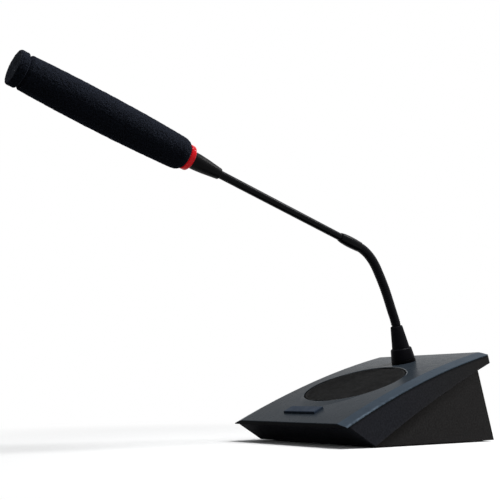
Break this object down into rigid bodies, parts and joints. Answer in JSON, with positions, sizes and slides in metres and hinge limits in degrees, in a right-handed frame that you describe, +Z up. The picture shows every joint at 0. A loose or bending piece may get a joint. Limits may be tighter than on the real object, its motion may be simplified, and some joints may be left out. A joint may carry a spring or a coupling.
{
  "type": "conference microphone",
  "caption": "Desk conference microphone: sloped table unit with round loudspeaker grille and talk key, gooseneck and stem carrying a long foam windscreen with a red signal ring.",
  "frame": {"origin": "middle of the rubber mat's underside, on the table, midway along the depth of the foot", "axes": "+Z up; -Y is the front that faces the talker, the way the microphone points; +X is to the right seen from the back"},
  "size_m": [0.152, 0.466, 0.2959],
  "materials": {
    "panel": "matte",
    "case": "matte",
    "steel_plate": "matte",
    "mat": "matte",
    "screw": "satin",
    "grille": "matte",
    "basket": "satin",
    "cone": "matte",
    "coil": "satin",
    "magnet": "matte",
    "pole": "satin",
    "board": "satin",
    "switch": "satin",
    "spacer": "satin",
    "chips": "satin",
    "socket": "satin",
    "contact": "polished",
    "collar": "satin",
    "washer": "satin",
    "boot": "matte",
    "cable": "satin",
    "plug": "satin",
    "key": "satin",
    "plunger": "satin",
    "gooseneck": "satin",
    "stem": "satin",
    "ferrule": "gloss",
    "signal": "gloss",
    "lamp_board": "satin",
    "mic_tube": "satin",
    "capsule": "satin",
    "foam": "matte"
  },
  "bodies": {
    "base": {"top_panel": "panel", "upper_case": "case", "lower_case": "case", "base_plate": "steel_plate", "rubber_mat": "mat", "case_screws": "screw", "speaker_grille": "grille", "speaker_frame": "basket", "speaker_cone": "cone", "voice_coil": "coil", "dust_cap": "cone", "speaker_magnet": "magnet", "magnet_plates": "pole", "speaker_screws": "screw", "switch_board": "board", "switch_body": "switch", "switch_screws": "screw", "main_board": "board", "board_spacers": "spacer", "board_screws": "screw", "board_components": "chips", "line_sockets": "socket", "socket_contacts": "contact", "neck_collar": "collar", "neck_washer": "washer", "neck_nut": "washer", "neck_boot": "boot", "base_cable": "cable", "cable_plug": "plug"},
    "key": {"talk_key": "key", "switch_plunger": "plunger"},
    "neck_low": {"gooseneck_low": "gooseneck", "cable_low": "cable"},
    "neck_mid": {"gooseneck_mid": "gooseneck", "cable_mid": "cable"},
    "head": {"gooseneck_high": "gooseneck", "cable_high": "cable", "neck_coupler": "stem", "stem_tube": "stem", "head_ferrule": "ferrule", "signal_ring": "signal", "ring_light_board": "lamp_board", "mic_tube": "mic_tube", "mic_capsule": "capsule", "foam_windscreen": "foam", "foam_tip": "foam"}
  },
  "joints": [
    {"name": "neck_pitch_low", "type": "hinge", "parent": "base", "child": "neck_low", "pos_m": [0, 0.0279, 0.12784], "axis": [1, 0, 0], "range_deg": [-30, 15], "deforming": ["gooseneck_low", "cable_low"]},
    {"name": "neck_sway", "type": "hinge", "parent": "neck_low", "child": "neck_mid", "pos_m": [0, 0.01347, 0.15678], "axis": [0, 0.8923, 0.4515], "range_deg": [-35, 35], "deforming": ["gooseneck_mid", "cable_mid"]},
    {"name": "neck_pitch_high", "type": "hinge", "parent": "neck_mid", "child": "head", "pos_m": [0, -0.00495, 0.18287], "axis": [1, 0, 0], "range_deg": [-50, 20], "deforming": ["gooseneck_high", "cable_high"]},
    {"name": "key_press", "type": "slide", "parent": "base", "child": "key", "axis": [0, 0.3904, -0.9207], "range_m": [0, 0.0012], "stiffness_N_per_m": 1500, "springref_m": -0.0003}
  ]
}
